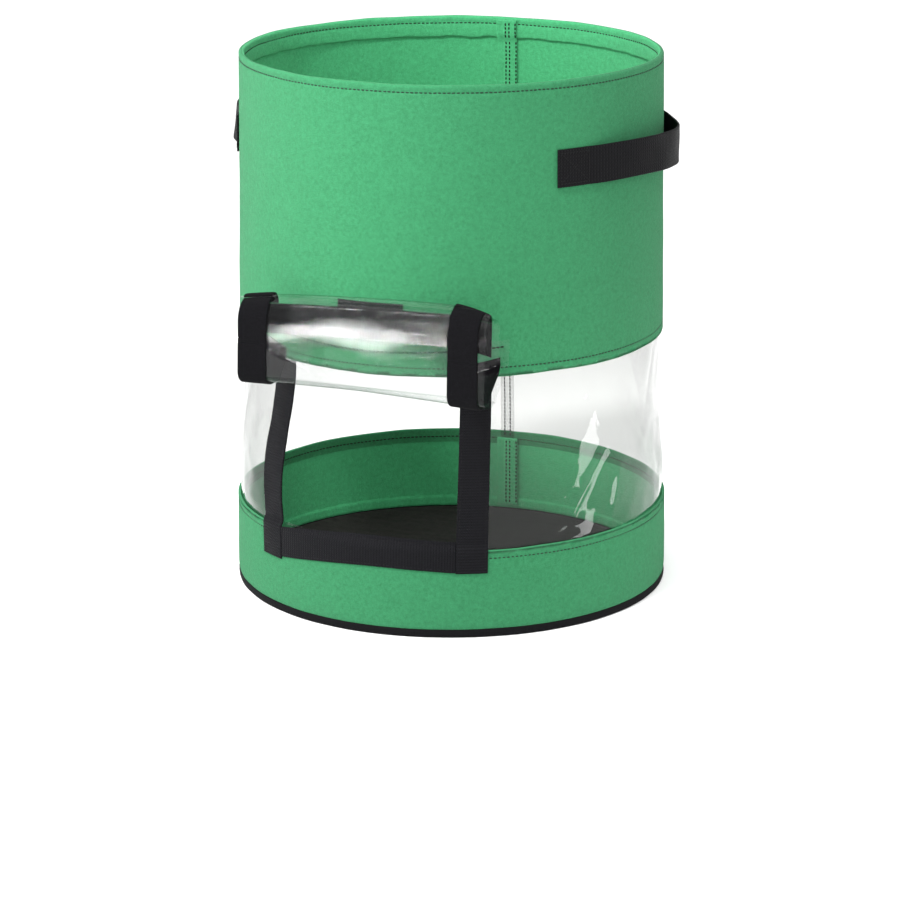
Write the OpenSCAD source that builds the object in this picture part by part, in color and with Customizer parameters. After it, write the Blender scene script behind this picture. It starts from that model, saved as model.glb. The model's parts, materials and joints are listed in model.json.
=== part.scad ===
// Round fabric grow bag: two felt tubes joined by a clear band, with a window
// that a clear flap closes. The flap is rolled up above the window.
// The origin is the middle of the underside, +Z is up and the window faces -Y.
// Angles round the bag are counted from the window's middle towards +X.

/* [Bag] */
// Height of the bag
bag_h = 442; // [420:1:470]
// Outer radius at the rim
rim_r = 171.2; // [169:0.1:174]
// Outer radius at the lower edge of the upper wall
upper_foot_r = 174.5; // [173.5:0.1:175.5]
// Outer radius at the upper edge of the lower wall
lower_top_r = 178.3; // [177.5:0.1:179]
// Outer radius at the foot
base_r = 178.8; // [178:0.1:180]
// Height of the upper wall's lower edge
upper_foot_z = 213; // [208:1:216]
// Height of the lower wall's upper edge
lower_top_z = 72.7; // [65:0.1:80]
// Thickness of the felt
felt_t = 2.2; // [1.6:0.1:3]
// Thickness of the clear band
band_t = 0.8; // [0.6:0.1:1.2]
// Depth of the hem folded inwards at the rim
rim_hem = 18; // [12:1:25]
// Width of the strip that laps each felt edge over the clear band
band_lap = 12; // [8:1:16]

/* [Base] */
// Height of the binding on the outside of the foot
binding_h = 7; // [5:0.5:9]
// Thickness of the binding
binding_t = 1.2; // [0.8:0.1:1.4]

/* [Window] */
// Angle from the window's middle to the opening's left edge
opening_left_deg = 26.8; // [22:0.1:27]
// Angle from the window's middle to the opening's right edge
opening_right_deg = 24.8; // [22:0.1:27]
// Height of the opening's lower edge
opening_z = 77; // [74:1:78]
// Width of the hook tape that frames the opening
hook_w = 25; // [20:1:30]
// Thickness of the hook tape
hook_t = 1.5; // [1:0.1:2]
// Height of the frame's lower edge
frame_foot_z = 54; // [48:1:58]
// Height of the left tape's lower end
left_tape_foot_z = 47; // [44:1:58]

/* [Flap] */
// Height of the seam that holds the flap
flap_seam_z = 240; // [236:1:244]
// Length of the flap below its seam
flap_len = 184.5; // [183:0.5:186]
// Half of the flap's width
flap_half_w = 104.5; // [98:0.5:106]
// Thickness of the flap's film
film_t = 0.6; // [0.5:0.1:1]
// Width of the loop tape on the flap's edges
loop_w = 25; // [20:1:30]
// Thickness of the loop tape
loop_t = 1.5; // [1:0.1:2]
// Distance from the flap's middle to the middle of each side tape
side_tape_x = 89; // [80:0.5:91]

/* [Handles] */
// Width of the webbing
webbing_w = 30; // [25:1:38]
// Thickness of the webbing
webbing_t = 1.8; // [1.2:0.1:2.4]
// Height of the handles' middle line
handle_z = 373.5; // [350:0.5:390]
// Angle from a handle's middle to the inner edge of each sewn end
sewn_inner_deg = 29; // [25:1:32]
// Angle from a handle's middle to the outer edge of each sewn end
sewn_outer_deg = 39; // [35:1:45]
// Angle of the right handle's middle
right_deg = 90; // [85:1:95]
// How far the right handle's middle stands off the wall
right_out = 15.3; // [15:0.1:25]
// Angle of the left handle's middle
left_deg = -104; // [-110:1:-90]
// How far the left handle's middle stands off the wall
left_out = 24; // [15:0.1:25]

/* [Hidden] */

clear = 0.1;      // gap between sewn layers
round_fn = 180;   // facets of a full turn in previews
far = 60;         // reach of a cutter past a wall

felt_green = "#3fae68";
film_clear = [0.85, 0.9, 0.92, 0.35];
tape_black = "#17171a";

function lerp(a, b, f) = a + (b - a) * f;
function upper_r(z) = lerp(upper_foot_r, rim_r, (z - upper_foot_z) / (bag_h - upper_foot_z));
function lower_r(z) = lerp(base_r, lower_top_r, z / lower_top_z);

// Outer radius of the clear band, which runs inside both felt edges.
band_top_r = upper_r(upper_foot_z) - felt_t - clear;
band_foot_r = lower_r(lower_top_z) - felt_t - clear;
function band_r(z) =
    z > upper_foot_z ? upper_r(z) - felt_t - clear
    : z < lower_top_z ? lower_r(z) - felt_t - clear
    : lerp(band_foot_r, band_top_r, (z - lower_top_z) / (upper_foot_z - lower_top_z));

// A closed ring, or the part of one between two angles, from a profile of [radius, z].
module ring(profile) {
    rotate_extrude($fn = round_fn) polygon(profile);
}
module sector(from_deg, to_deg, profile) {
    rotate([0, 0, from_deg - 90])
        rotate_extrude(angle = to_deg - from_deg, $fn = round_fn) polygon(profile);
}
// A strip of thickness t whose inner face passes through the points [radius, z].
function strip(points, t) = concat(
    points,
    [for (i = [len(points) - 1:-1:0]) [points[i][0] + t, points[i][1]]]
);

// ---- Walls and base ----

module upper_wall() {
    hem_z = bag_h - rim_hem;
    color(felt_green) ring([
        [upper_foot_r, upper_foot_z], [rim_r, bag_h], [rim_r - 2 * felt_t, bag_h],
        [upper_r(hem_z) - 2 * felt_t, hem_z], [upper_r(hem_z) - felt_t, hem_z],
        [upper_foot_r - felt_t, upper_foot_z]
    ]);
}

module window_band() {
    top_z = upper_foot_z + band_lap;
    foot_z = lower_top_z - band_lap;
    cut_top_z = upper_foot_z + 1;   // just under the felt's edge
    inner = [for (z = [foot_z, lower_top_z, upper_foot_z, top_z]) [band_r(z) - band_t, z]];
    color(film_clear) difference() {
        ring(strip(inner, band_t));
        sector(-opening_left_deg, opening_right_deg, [
            [band_foot_r - far, opening_z], [band_foot_r + far, opening_z],
            [band_foot_r + far, cut_top_z], [band_foot_r - far, cut_top_z]
        ]);
    }
}

// The foot of the lower wall is pressed thinner where the binding wraps it.
foot_r = lower_r(0) - binding_t;
foot_step_z = binding_h + clear;
module lower_wall() {
    color(felt_green) ring([
        [foot_r - clear, binding_t + clear], [foot_r - clear, foot_step_z],
        [lower_r(foot_step_z), foot_step_z], [lower_top_r, lower_top_z],
        [lower_top_r - felt_t, lower_top_z], [lower_r(foot_step_z) - felt_t, foot_step_z],
        [foot_r - clear - felt_t, binding_t + clear]
    ]);
}

disc_r = foot_r - felt_t - 3 * clear;
disc_lip = 1;
module base_disc() {
    color(tape_black) {
        cylinder(r = disc_r - disc_lip, h = felt_t, $fn = round_fn);
        translate([0, 0, binding_t + clear])
            cylinder(r = disc_r, h = felt_t - binding_t, $fn = round_fn);
    }
}

module base_binding() {
    corner = 1.6;
    color(tape_black) ring([
        [disc_r - disc_lip + clear, 0], [base_r - corner, 0],
        [base_r - corner * 0.3, corner * 0.3], [base_r, corner],
        [lower_r(binding_h), binding_h], [foot_r, binding_h],
        [foot_r, binding_t], [disc_r - disc_lip + clear, binding_t]
    ]);
}

// ---- Back seam: the laps where each wound strip is sewn to itself ----

seam_deg = 186.2;
seam_half_deg = 3.3;

module upper_seam_strip() {
    z0 = upper_foot_z + band_lap + 1;
    z1 = bag_h - rim_hem - 1;
    inner = [for (z = [z0, z1]) [upper_r(z) - 2 * felt_t - 2 * clear, z]];
    color(felt_green) sector(seam_deg - seam_half_deg, seam_deg + seam_half_deg, strip(inner, felt_t));
}

module window_seam_strip() {
    half_deg = seam_half_deg / 2;
    inner = [for (z = [lower_top_z - band_lap, lower_top_z, upper_foot_z, upper_foot_z + band_lap])
        [band_r(z) - 2 * band_t - clear, z]];
    color(film_clear) sector(seam_deg - half_deg, seam_deg + half_deg, strip(inner, band_t));
}

module lower_seam_strip() {
    z0 = foot_step_z + 1;
    z1 = lower_top_z - band_lap - 1;
    inner = [for (z = [z0, z1]) [lower_r(z) - 2 * felt_t - 2 * clear, z]];
    color(felt_green) sector(seam_deg - seam_half_deg, seam_deg + seam_half_deg, strip(inner, felt_t));
}

// ---- Hook tape round the opening ----

tape_gap_deg = 0.1;
hook_deg = hook_w / upper_foot_r * 180 / PI;

tape_lap_deg = 0.3;   // how far the tapes lie over the opening's edges

module window_side_tape(side, edge_deg, foot_z) {
    near = edge_deg - tape_lap_deg;
    path = [
        [lower_r(foot_z) + clear, foot_z], [lower_top_r + clear, lower_top_z],
        [band_r(lower_top_z + 5) + clear, lower_top_z + 5],
        [band_top_r + clear, upper_foot_z - 1]
    ];
    a = side * near;
    b = side * (near + hook_deg);
    color(tape_black) sector(min(a, b), max(a, b), strip(path, hook_t));
}

module window_tape_left() { window_side_tape(-1, opening_left_deg, left_tape_foot_z); }
module window_tape_right() { window_side_tape(1, opening_right_deg, frame_foot_z); }

module window_tape_bottom() {
    inset_deg = tape_lap_deg + tape_gap_deg;
    path = [
        [lower_r(frame_foot_z) + clear, frame_foot_z], [lower_top_r + clear, lower_top_z],
        [band_foot_r + clear + 0.8, frame_foot_z + hook_w]
    ];
    color(tape_black)
        sector(inset_deg - opening_left_deg, opening_right_deg - inset_deg, strip(path, hook_t));
}

// ---- Handles ----

attach_r = upper_r(handle_z) + clear;
half_chord = attach_r * sin(sewn_inner_deg);
loop_trim = 15;  // free webbing left out at each end of a loop, where it only bends

module handle_end(mid, end) {
    z0 = handle_z - webbing_w / 2;
    z1 = handle_z + webbing_w / 2;
    a = mid + end * sewn_inner_deg;
    b = mid + end * sewn_outer_deg;
    path = [[upper_r(z0) + clear, z0], [upper_r(z1) + clear, z1]];
    color(tape_black) sector(min(a, b), max(a, b), strip(path, webbing_t));
}

// A loop is an arc through both sewn ends whose middle stands off the wall.
module handle_loop(mid, out) {
    sag = attach_r + out - attach_r * cos(sewn_inner_deg);
    arc_r = (half_chord * half_chord + sag * sag) / (2 * sag);
    half_deg = asin((half_chord - loop_trim) / arc_r);
    centre_r = attach_r + out - arc_r;
    translate([centre_r * sin(mid), -centre_r * cos(mid), handle_z - webbing_w / 2])
        color(tape_black) sector(mid - half_deg, mid + half_deg, [
            [arc_r, 0], [arc_r + webbing_t, 0], [arc_r + webbing_t, webbing_w], [arc_r, webbing_w]
        ]);
}

// "front" is the end nearer to the window.
module handle_left_end_front() { handle_end(left_deg, 1); }
module handle_left_end_back() { handle_end(left_deg, -1); }
module handle_left_loop() { handle_loop(left_deg, left_out); }
module handle_right_end_front() { handle_end(right_deg, -1); }
module handle_right_end_back() { handle_end(right_deg, 1); }
module handle_right_loop() { handle_loop(right_deg, right_out); }

// ---- Hook patch that holds the rolled flap's bottom tape ----

module roll_patch() {
    path = [for (z = [250, 276.5]) [upper_r(z) + clear, z]];
    color(tape_black) sector(-7.7, 10.3, strip(path, hook_t));
}

// ---- Flap ----
// The rolled film is four flat slats in a row, each turned from the one before.
// A heading is 0 straight down, 90 away from the bag, 180 straight up.

hinge_y = -176.3;
hinge_z = 201.5;
hang_deg = 5.5;                   // heading of the whole flap when it hangs open
turns_deg = [87.5, 90, 70, 110];  // turn at each fold when the flap is rolled up
slat_trim = 0.5;                  // gap at each fold

slat_len = [25, 65, 21.5];
last = len(slat_len);
last_len = flap_len - (flap_seam_z - hinge_z) - slat_len[0] - slat_len[1] - slat_len[2];
slats = concat(slat_len, [last_len]);

function heading(i) = (i == 0 ? hang_deg : heading(i - 1)) + turns_deg[i];
function fold_y(i) = i == 0 ? hinge_y : fold_y(i - 1) - slats[i - 1] * sin(heading(i - 1));
function fold_z(i) = i == 0 ? hinge_z : fold_z(i - 1) - slats[i - 1] * cos(heading(i - 1));

// Places its children on slat i: local Z runs down the slat, local +Y is the side
// that faces the bag when the flap hangs open, which is the roll's outer side.
module on_slat(i) {
    translate([0, fold_y(i), fold_z(i)]) rotate([-heading(i), 0, 0]) mirror([0, 0, 1]) children();
}

module flap_film(i) {
    color(film_clear) on_slat(i)
        translate([-flap_half_w, -film_t / 2, slat_trim])
            cube([2 * flap_half_w, film_t, slats[i] - 2 * slat_trim]);
}

module flap_side_tape(i, side) {
    z1 = i == last ? slats[i] - loop_w - slat_trim : slats[i] - slat_trim;
    color(tape_black) on_slat(i)
        translate([side * side_tape_x - loop_w / 2, film_t / 2 + clear, slat_trim])
            cube([loop_w, loop_t, z1 - slat_trim]);
}

module flap_tape_bottom() {
    half_w = side_tape_x + loop_w / 2;
    color(tape_black) on_slat(last)
        translate([-half_w, film_t / 2 + clear, slats[last] - loop_w])
            cube([2 * half_w, loop_t, loop_w]);
}

// The film between the seam and the first fold: it lies on the curved wall, then
// leaves it along a curve to reach the straight fold.
seam_half_deg_flap = flap_half_w / upper_foot_r * 180 / PI;
top_edge_z = flap_seam_z + 2;
leave_slope = 0.5;
columns = 32;
function wall_point(u, z) =
    let (r = upper_r(max(z, upper_foot_z)) + 3 * clear, a = u * seam_half_deg_flap)
    [r * sin(a), -r * cos(a), z];
function leave_z(u) =
    hinge_z + 3 + leave_slope * (wall_point(u, hinge_z)[1] - hinge_y);
function top_row(u) = [
    wall_point(u, top_edge_z), wall_point(u, leave_z(u)),
    [u * flap_half_w, hinge_y + slat_trim, hinge_z + slat_trim * leave_slope]
];
function out_row(u) = [for (p = top_row(u)) p + [0, -film_t, 0]];

module flap_film_top() {
    rows = [for (i = [0:columns]) let (u = 2 * i / columns - 1)
        concat(top_row(u), [for (j = [2:-1:0]) out_row(u)[j]])];
    points = [for (row = rows) for (p = row) p];
    n = 6;
    sides = [for (i = [0:columns - 1]) for (j = [0:n - 1])
        let (k = (j + 1) % n, a = i * n + j, b = i * n + k, c = a + n, d = b + n)
        each [[a, b, d], [a, d, c]]];
    caps = [for (j = [1:n - 2]) each [[0, j + 1, j], [columns * n, columns * n + j, columns * n + j + 1]]];
    color(film_clear) polyhedron(points, concat(sides, caps));
}

upper_wall();
window_band();
lower_wall();
base_disc();
base_binding();
upper_seam_strip();
window_seam_strip();
lower_seam_strip();
window_tape_left();
window_tape_right();
window_tape_bottom();
handle_left_end_front();
handle_left_end_back();
handle_left_loop();
handle_right_end_front();
handle_right_end_back();
handle_right_loop();
roll_patch();
flap_film_top();
flap_tape_bottom();
for (i = [0:last]) {
    flap_film(i);
    flap_side_tape(i, -1);
    flap_side_tape(i, 1);
}
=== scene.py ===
import json
import math

import bmesh
import bpy
import numpy as np
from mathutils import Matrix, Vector


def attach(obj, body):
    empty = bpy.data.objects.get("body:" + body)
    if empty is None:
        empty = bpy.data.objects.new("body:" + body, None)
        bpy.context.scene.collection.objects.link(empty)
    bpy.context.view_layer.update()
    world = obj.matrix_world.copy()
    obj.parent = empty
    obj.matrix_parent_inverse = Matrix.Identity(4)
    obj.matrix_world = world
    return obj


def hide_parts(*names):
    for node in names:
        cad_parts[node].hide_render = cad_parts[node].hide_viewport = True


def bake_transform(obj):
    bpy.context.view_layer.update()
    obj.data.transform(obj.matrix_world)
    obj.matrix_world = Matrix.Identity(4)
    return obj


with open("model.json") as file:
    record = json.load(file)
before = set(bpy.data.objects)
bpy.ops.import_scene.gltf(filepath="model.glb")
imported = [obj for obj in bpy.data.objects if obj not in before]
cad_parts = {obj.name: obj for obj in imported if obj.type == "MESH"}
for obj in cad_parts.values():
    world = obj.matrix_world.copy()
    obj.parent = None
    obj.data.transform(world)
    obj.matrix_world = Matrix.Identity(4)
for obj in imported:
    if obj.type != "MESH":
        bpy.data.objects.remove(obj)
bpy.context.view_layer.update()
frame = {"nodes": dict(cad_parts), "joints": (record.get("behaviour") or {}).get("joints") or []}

# Lengths below are in millimetres and angles round the bag in degrees, counted from
# the window's middle (-Y) towards +X. Meshes are written in metres.
MM = 0.001
rng = np.random.default_rng(7)

JOINTS = {j["name"]: j for j in frame["joints"]}
FOLDS = [np.array(JOINTS[n]["pos_m"][1:]) / MM
         for n in ("flap_unroll", "flap_bend_2", "flap_bend_3", "flap_bend_4")]


def node_points(node):
    return np.array([v.co for v in frame["nodes"][node].data.vertices], float) / MM


def profile_of(node):
    """(heights, radii) of a ring node's outer surface."""
    p = node_points(node)
    r = np.hypot(p[:, 0], p[:, 1])
    heights = np.unique(np.round(p[:, 2], 2))
    return heights, np.array([r[np.abs(p[:, 2] - z) < 0.02].max() for z in heights])


UPPER, LOWER, BAND = profile_of("upper_wall"), profile_of("lower_wall"), profile_of("window_band")
RIM_Z, FOOT_Z = UPPER[0][-1], UPPER[0][0]          # upper wall
LIP_Z = LOWER[0][-1]                               # lower wall's top edge
LOWER = (LOWER[0][-2:], LOWER[1][-2:])             # above the binding's step
MEAN_R = 175                                       # the bag's radius, for lengths round it
FELT, FILM_T = 2.2, 0.4                            # thickness of the felt, and of the CAD's film
TAPE_T, TAPE_W = 1.5, 25.0                         # thickness and width of hook and loop tape
BAND_FOOT, BAND_HEAD = BAND[0][0], BAND[0][-1]


def upper_r(z):
    return UPPER[1][0] + (UPPER[1][-1] - UPPER[1][0]) * (z - FOOT_Z) / (RIM_Z - FOOT_Z)


def lower_r(z):
    return LOWER[1][-1] + (LOWER[1][-1] - LOWER[1][0]) * (z - LIP_Z) / (LOWER[0][-1] - LOWER[0][0])


def band_r(z):
    return np.interp(z, *BAND)


# ---- mesh helpers

def smooth_noise(a, b, seed, scale_a, scale_b, octaves=3):
    """Seeded sum of sines over two coordinates, about -1 to 1."""
    g = np.random.default_rng(seed)
    out = np.zeros(np.broadcast(a, b).shape)
    total = 0
    for k in range(octaves):
        for _ in range(3):
            turn, phase = g.uniform(0, 2 * math.pi, 2)
            f = 2 ** k * g.uniform(0.75, 1.3)
            waves = a / scale_a * math.cos(turn) + b / scale_b * math.sin(turn)
            out = out + np.sin(f * waves * 2 * math.pi + phase) / 1.7 ** k
        total += 3 / 1.7 ** k
    return out / total * 1.6


def ring_noise(deg, z, seed, waves, scale_z, octaves=3):
    """Noise that closes round the bag: whole numbers of waves in a turn."""
    g = np.random.default_rng(seed)
    out = np.zeros(np.broadcast(deg, z).shape)
    total = 0
    for k in range(octaves):
        for _ in range(3):
            n = max(1, round(waves * 2 ** k * g.uniform(0.6, 1.4)))
            p1, p2, fz = g.uniform(0, 2 * math.pi), g.uniform(0, 2 * math.pi), g.uniform(0.6, 1.4)
            bend = 1.3 * np.sin(z / scale_z * fz * 2 ** k * 2 * math.pi + p2)
            out = out + np.sin(n * np.radians(deg) + p1 + bend) / 1.7 ** k
        total += 3 / 1.7 ** k
    return out / total * 1.6


def polar(deg, r, z):
    a = np.radians(deg)
    deg, r, z = np.broadcast_arrays(deg, r, z)
    return np.stack([r * np.sin(a), -r * np.cos(a), z * np.ones_like(r)], -1)


def mesh_object(name, points, faces, uv=None):
    """An object from points in millimetres, quads or triangles, and UVs in metres for each point."""
    me = bpy.data.meshes.new(name)
    pts = np.asarray(points, float).reshape(-1, 3) * MM
    me.from_pydata(pts.tolist(), [], [list(map(int, f)) for f in faces])
    if uv is not None:
        layer = me.uv_layers.new(name="UVMap")
        loops = np.zeros(len(me.loops), np.int32)
        me.loops.foreach_get("vertex_index", loops)
        layer.data.foreach_set("uv", (np.asarray(uv, float).reshape(-1, 2)[loops] * MM).ravel())
    me.polygons.foreach_set("use_smooth", [True] * len(me.polygons))
    me.update()
    o = bpy.data.objects.new(name, me)
    bpy.context.scene.collection.objects.link(o)
    return o


def grid_faces(nu, nv, wrap_u=False, wrap_v=False):
    iu = np.arange(nu if wrap_u else nu - 1)
    iv = np.arange(nv if wrap_v else nv - 1)
    a, b = np.meshgrid(iu, iv, indexing="ij")
    a, b = a.ravel(), b.ravel()
    a2, b2 = (a + 1) % nu, (b + 1) % nv
    return np.stack([a * nv + b, a2 * nv + b, a2 * nv + b2, a * nv + b2], 1)


def normals_of(p, wrap_u=False):
    """Unit normals of a grid of points, du x dv."""
    du = (np.roll(p, -1, 0) - np.roll(p, 1, 0)) if wrap_u else np.gradient(p, axis=0)
    dv = np.gradient(p, axis=1)
    n = np.cross(du, dv)
    return n / np.maximum(np.linalg.norm(n, axis=-1, keepdims=True), 1e-12)


def lines(a, b, step, edge=0.0):
    """Grid lines from a to b, about a step apart, with close lines near both ends when edge is given."""
    n = max(2, int(round((b - a) / step)) + 1)
    out = np.linspace(a, b, n)
    if edge:
        near = edge * np.array([0, 0.08, 0.3, 0.62, 1.0])
        out = out[(out > a + edge * 1.3) & (out < b - edge * 1.3)]
        out = np.concatenate([a + near, out, (b - near)[::-1]])
    return out


def rounded(distance, radius):
    """Share of a sheet's thickness at a distance from its rounded edge."""
    return np.sqrt(np.maximum(0, 1 - (1 - np.clip(distance / radius, 0, 1)) ** 2))[..., None]


def closed_sheet(name, top, low, uu, vv, shared, caps=()):
    """Both sides of a sheet, with shared(ids) the edges whose points they share. caps lists (row, turned)."""
    nu, nv = uu.shape
    ids = np.arange(nu * nv).reshape(nu, nv)
    low_ids = ids + nu * nv
    for edge in shared(ids):
        low_ids.flat[edge] = edge
    faces = grid_faces(nu, nv)
    ends = []
    for row, turned in caps:
        for j in range(nv - 1):
            ring = [ids[row, j], ids[row, j + 1], low_ids[row, j + 1], low_ids[row, j]]
            ring = list(dict.fromkeys(int(q) for q in ring))
            ends.append(ring[::-1] if turned else ring)
    o = mesh_object(name, np.concatenate([top.reshape(-1, 3), low.reshape(-1, 3)]),
                    list(faces) + list(low_ids.ravel()[faces][:, ::-1]) + ends,
                    np.concatenate([np.stack([uu, vv], -1).reshape(-1, 2)] * 2))
    drop_loose(o)
    return o


def sheet_shell(name, u, v, surface, thickness, lift=0.0, rounding=0.8):
    """A thick sheet with rounded edges. surface(u, v) gives the points of its middle, in millimetres."""
    uu, vv = np.meshgrid(u, v, indexing="ij")
    p = surface(uu, vv)
    n = normals_of(p)
    f = rounded(np.minimum(np.minimum(uu - u[0], u[-1] - uu), np.minimum(vv - v[0], v[-1] - vv)), rounding)
    lift = lift if np.ndim(lift) == 0 else np.asarray(lift)[..., None]
    return closed_sheet(name, p + n * (lift + thickness / 2 * f), p + n * (lift - thickness / 2 * f), uu, vv,
                        lambda ids: (ids[0], ids[-1], ids[:, 0], ids[:, -1]))


def drop_loose(o):
    """Removes points that no face uses."""
    bm = bmesh.new()
    bm.from_mesh(o.data)
    loose = [v for v in bm.verts if not v.link_faces]
    bmesh.ops.delete(bm, geom=loose, context="VERTS")
    bm.to_mesh(o.data)
    bm.free()


def ring_shell(name, deg, profile, displace):
    """A closed ring from a closed loop of (inset, height). displace turns them into (radius, height)."""
    prof = np.asarray(profile, float)
    dd, inset = np.meshgrid(deg, prof[:, 0], indexing="ij")
    _, z = np.meshgrid(deg, prof[:, 1], indexing="ij")
    r, z2 = displace(dd, inset, z)
    p = polar(dd, r, z2)
    along = np.concatenate([[0], np.cumsum(np.hypot(*np.diff(prof, axis=0).T))])
    uv = np.stack([np.radians(dd) * MEAN_R, np.broadcast_to(along, dd.shape)], -1)
    return mesh_object(name, p, grid_faces(len(deg), len(prof), True, True), uv)


# ---- materials

def new_material(name):
    m = bpy.data.materials.new(name)
    m.use_nodes = True
    t = m.node_tree
    t.nodes.clear()
    return m, t, t.nodes.new("ShaderNodeOutputMaterial")


class Tree:
    """Short names for adding and joining shader nodes."""

    def __init__(self, tree):
        self.tree = tree

    def node(self, kind, **values):
        n = self.tree.nodes.new("ShaderNode" + kind)
        for key, value in values.items():
            if hasattr(n, key):
                setattr(n, key, value)
        return n

    def put(self, node, **sockets):
        for key, value in sockets.items():
            s = node.inputs[key.replace("_", " ")]
            if hasattr(value, "links"):
                self.tree.links.new(value, s)
            else:
                s.default_value = value
        return node

    def coords(self, scale=(1, 1, 1), uv=False):
        c = self.node("TexCoord")
        m = self.node("Mapping")
        self.tree.links.new(c.outputs["UV" if uv else "Object"], m.inputs["Vector"])
        m.inputs["Scale"].default_value = scale
        return m.outputs["Vector"]

    def noise(self, vector, scale, detail=3.0, rough=0.6):
        n = self.node("TexNoise")
        self.put(n, Vector=vector, Scale=scale, Detail=detail, Roughness=rough)
        return n.outputs["Fac"]

    def ramp(self, fac, stops):
        r = self.node("ValToRGB")
        e = r.color_ramp.elements
        while len(e) < len(stops):
            e.new(0.5)
        for item, (at, colour) in zip(e, stops):
            item.position = at
            item.color = (*colour, 1) if len(colour) == 3 else colour
        self.tree.links.new(fac, r.inputs["Fac"])
        return r.outputs["Color"]

    def math(self, op, a, b=None, c=None):
        n = self.node("Math", operation=op)
        for i, v in enumerate((a, b, c)):
            if v is None:
                continue
            if hasattr(v, "links"):
                self.tree.links.new(v, n.inputs[i])
            else:
                n.inputs[i].default_value = v
        return n.outputs[0]

    def inward_painted_light(self, colour, gain):
        """Painted light: the colour, made lighter by the gain where the surface faces the bag's axis, in
        place of light inside the bag.
        """
        where, g = self.node("SeparateXYZ"), self.node("NewGeometry")
        faces = self.node("SeparateXYZ")
        self.tree.links.new(g.outputs["Position"], where.inputs[0])
        self.tree.links.new(g.outputs["Normal"], faces.inputs[0])
        along = self.math("MULTIPLY_ADD", where.outputs[0], faces.outputs[0],
                          self.math("MULTIPLY", where.outputs[1], faces.outputs[1]))
        inside = self.math("LESS_THAN", along, -0.05)
        painted_light_factor = self.math("MULTIPLY_ADD", inside, gain - 1.0, 1.0)
        n = self.node("VectorMath", operation="SCALE")
        self.tree.links.new(colour, n.inputs[0])
        self.tree.links.new(painted_light_factor, n.inputs["Scale"])
        return n.outputs[0]

    def bump(self, height, strength, distance):
        b = self.node("Bump")
        self.put(b, Height=height, Strength=strength, Distance=distance)
        return b.outputs["Normal"]


def cloth_material(name, dark, light, roughness=0.95, sheen=0.25, sheen_tint=(1, 1, 1),
                   mottle=260.0, fibre=1500.0, bump=0.35, depth=0.0006, specular=0.2,
                   inner=1.0):
    """Matte fibrous cloth: mottled in patches a few millimetres wide, with fine fibres in its bump. An inner
    gain above 1 paints light on the faces inside the bag.
    """
    m, tree, out = new_material(name)
    t = Tree(tree)
    v = t.coords()
    patch = t.noise(v, mottle, 4.0, 0.65)
    fine = t.noise(v, fibre, 3.0, 0.7)
    both = t.math("ADD", t.math("MULTIPLY", patch, 0.5), t.math("MULTIPLY", fine, 0.5))
    colour = t.ramp(both, [(0.32, dark), (0.68, light)])
    # painted light: a lighter copy of the colour on the faces inside the bag
    if inner != 1.0:
        colour = t.inward_painted_light(colour, inner)
    p = t.put(t.node("BsdfPrincipled"), Base_Color=colour, Roughness=roughness, Sheen_Weight=sheen,
              Sheen_Roughness=0.55, Sheen_Tint=(*sheen_tint, 1), Specular_IOR_Level=specular,
              Normal=t.bump(both, bump, depth))
    tree.links.new(p.outputs[0], out.inputs["Surface"])
    return m


def woven_material(name, dark, light, rib, row, roughness, depth):
    """Woven tape: ribs across and rows along, from UVs in metres; rib and row are the pitches in metres."""
    m, tree, out = new_material(name)
    t = Tree(tree)
    uv = t.coords((1 / rib, 1 / row, 1), uv=True)
    split = t.node("SeparateXYZ")
    tree.links.new(uv, split.inputs[0])
    a = t.math("SINE", t.math("MULTIPLY", split.outputs[0], 2 * math.pi))
    b = t.math("SINE", t.math("MULTIPLY", split.outputs[1], 2 * math.pi))
    weave = t.math("MULTIPLY_ADD", t.math("MULTIPLY", a, b), 0.3, t.math("MULTIPLY_ADD", a, 0.2, 0.5))
    fine = t.noise(t.coords(), 2200.0, 2.0, 0.6)
    height = t.math("ADD", t.math("MULTIPLY", weave, 0.7), t.math("MULTIPLY", fine, 0.3))
    colour = t.ramp(height, [(0.25, dark), (0.8, light)])
    p = t.put(t.node("BsdfPrincipled"), Base_Color=colour, Roughness=roughness, Specular_IOR_Level=0.05,
              Normal=t.bump(height, 0.8, depth))
    tree.links.new(p.outputs[0], out.inputs["Surface"])
    return m


def film_material(name, clear=(0.955, 0.96, 0.965), haze=0.03, roughness=0.03, bump=0.15, gain=1.0):
    """Clear film: see-through, mirroring more at grazing angles, with a faint haze."""
    m, tree, out = new_material(name)
    t = Tree(tree)
    facing = t.node("LayerWeight")
    facing.inputs["Blend"].default_value = 0.5
    f = facing.outputs["Facing"]
    schlick = t.math("MULTIPLY_ADD", t.math("POWER", f, 4.5), 0.8 * gain, 0.014 * gain)
    fine = t.noise(t.coords(), 45.0, 3.0, 0.5)
    normal = t.bump(fine, bump, 0.002)
    glossy = t.put(t.node("BsdfGlossy"), Color=(1, 1, 1, 1), Roughness=roughness, Normal=normal)
    veil = t.put(t.node("BsdfDiffuse"), Color=(0.85, 0.87, 0.88, 1))
    tint = t.ramp(t.math("POWER", f, 3.0), [(0.0, clear), (1.0, tuple(c * 0.55 for c in clear))])
    through = t.put(t.node("BsdfTransparent"), Color=tint)
    body = t.put(t.node("MixShader"), Fac=haze)
    tree.links.new(through.outputs[0], body.inputs[1])
    tree.links.new(veil.outputs[0], body.inputs[2])
    mix = t.node("MixShader")
    tree.links.new(schlick, mix.inputs["Fac"])
    tree.links.new(body.outputs[0], mix.inputs[1])
    tree.links.new(glossy.outputs[0], mix.inputs[2])
    tree.links.new(mix.outputs[0], out.inputs["Surface"])
    return m


# inner=1.9 paints light on the green felt's inside faces, 1.9 times lighter than outside
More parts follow.
